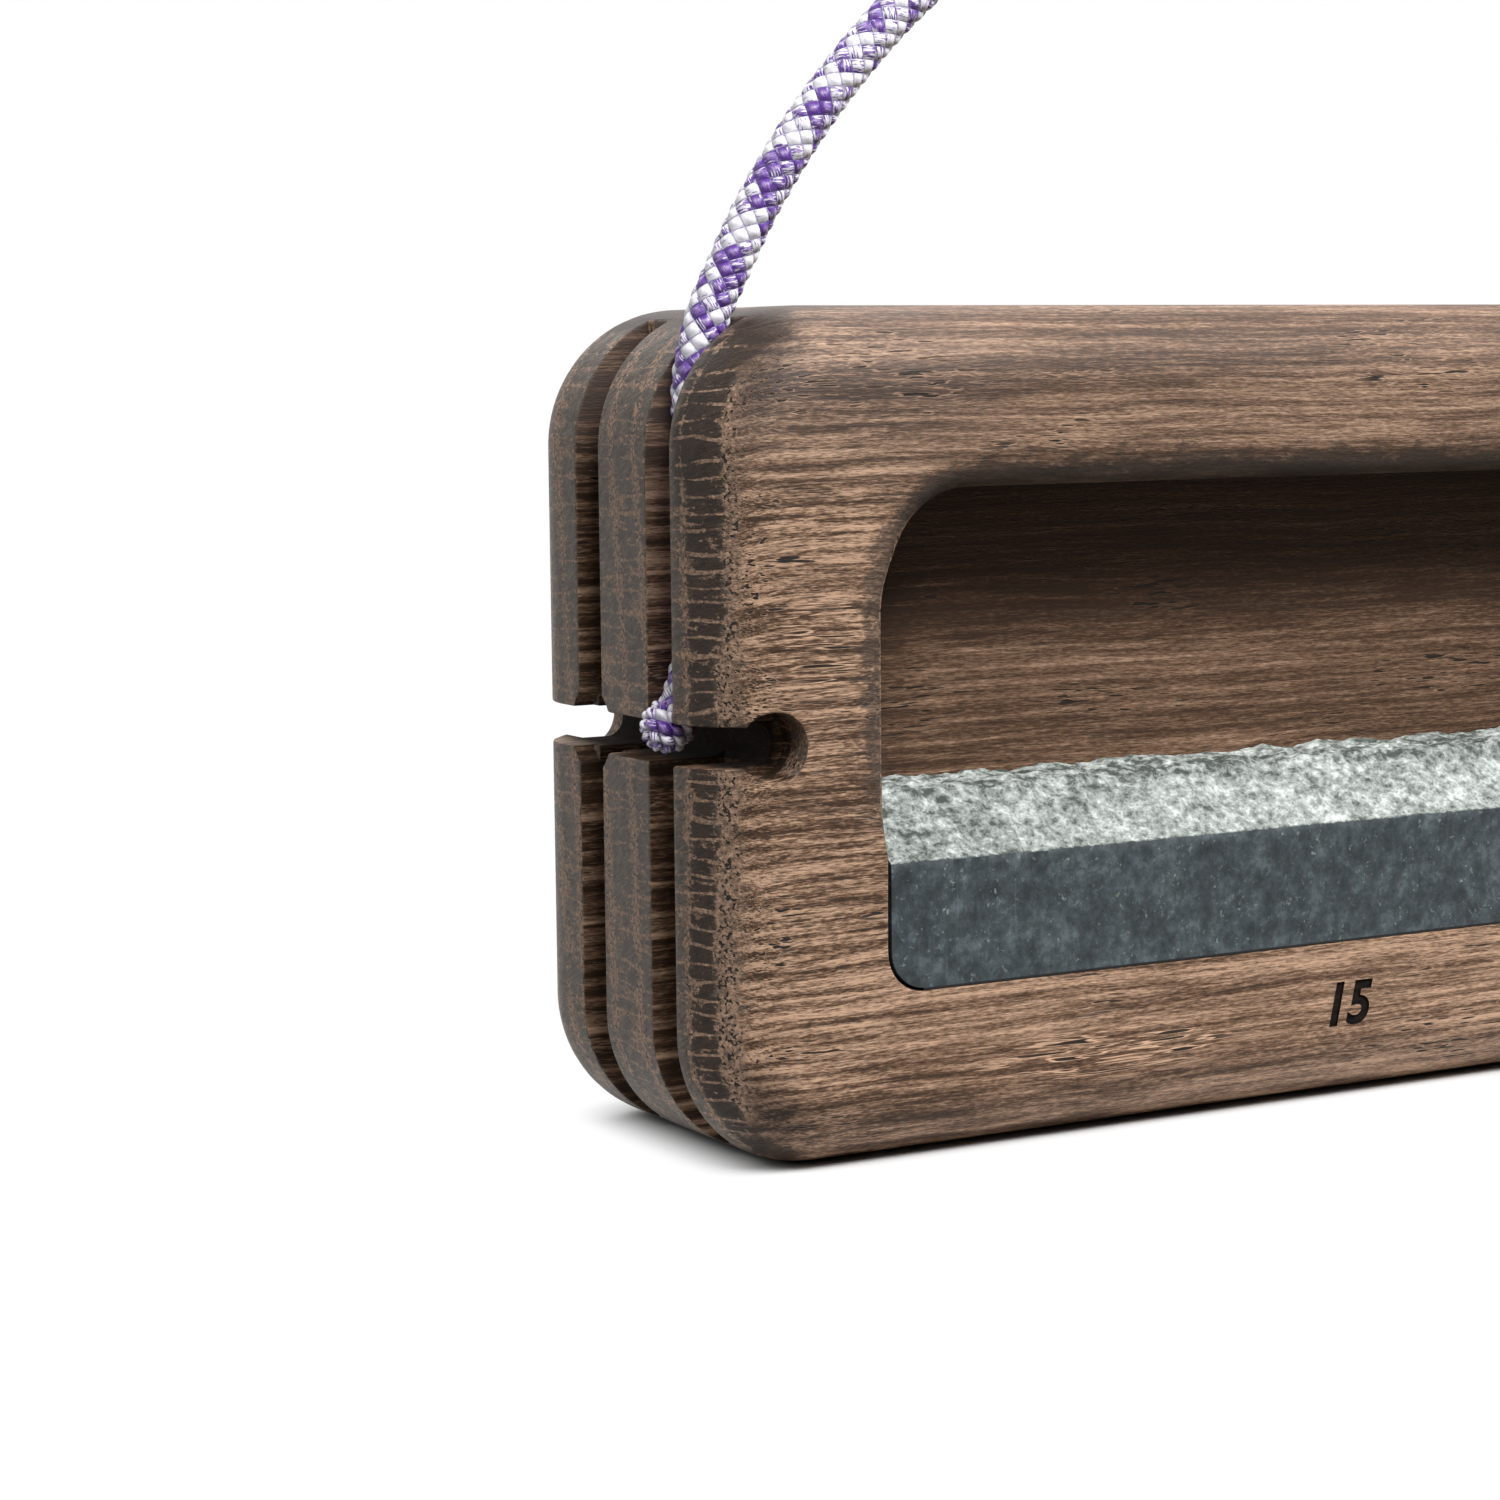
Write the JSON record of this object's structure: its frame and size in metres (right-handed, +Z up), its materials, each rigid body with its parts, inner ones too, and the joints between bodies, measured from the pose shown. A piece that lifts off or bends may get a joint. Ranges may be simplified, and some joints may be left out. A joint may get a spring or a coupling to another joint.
{
  "type": "hangboard",
  "caption": "Wooden hand-held hangboard with a finger pocket and a stone grip edge on each side, and a cord sling that runs in end grooves.",
  "frame": {"origin": "under the middle of the board, on the surface it stands on", "axes": "+X along the board to the right as seen from the front, +Y from the front face to the rear face, +Z up"},
  "size_m": [0.1842, 0.0486, 0.1583],
  "materials": {
    "dark_wood": "sanded, oiled",
    "grip_stone": "honed front, broken back",
    "dark_adhesive": "cured epoxy",
    "braided_cord": "glossy braid, white with violet"
  },
  "bodies": {
    "board": {"board_body": "dark_wood", "front_stone_edge": "grip_stone", "rear_stone_edge": "grip_stone", "front_stone_adhesive": "dark_adhesive", "rear_stone_adhesive": "dark_adhesive", "sling_left_run": "braided_cord", "sling_right_run": "braided_cord", "left_stopper_knot": "braided_cord", "right_stopper_knot": "braided_cord"},
    "sling": {"sling_arch": "braided_cord"}
  },
  "joints": [
    {"name": "sling_swing", "type": "hinge", "parent": "board", "child": "sling", "pos_m": [0, -0.01145, 0.1035], "axis": [1, 0, 0], "range_deg": [-80, 80], "stiffness_Nm_per_rad": 0.01}
  ]
}
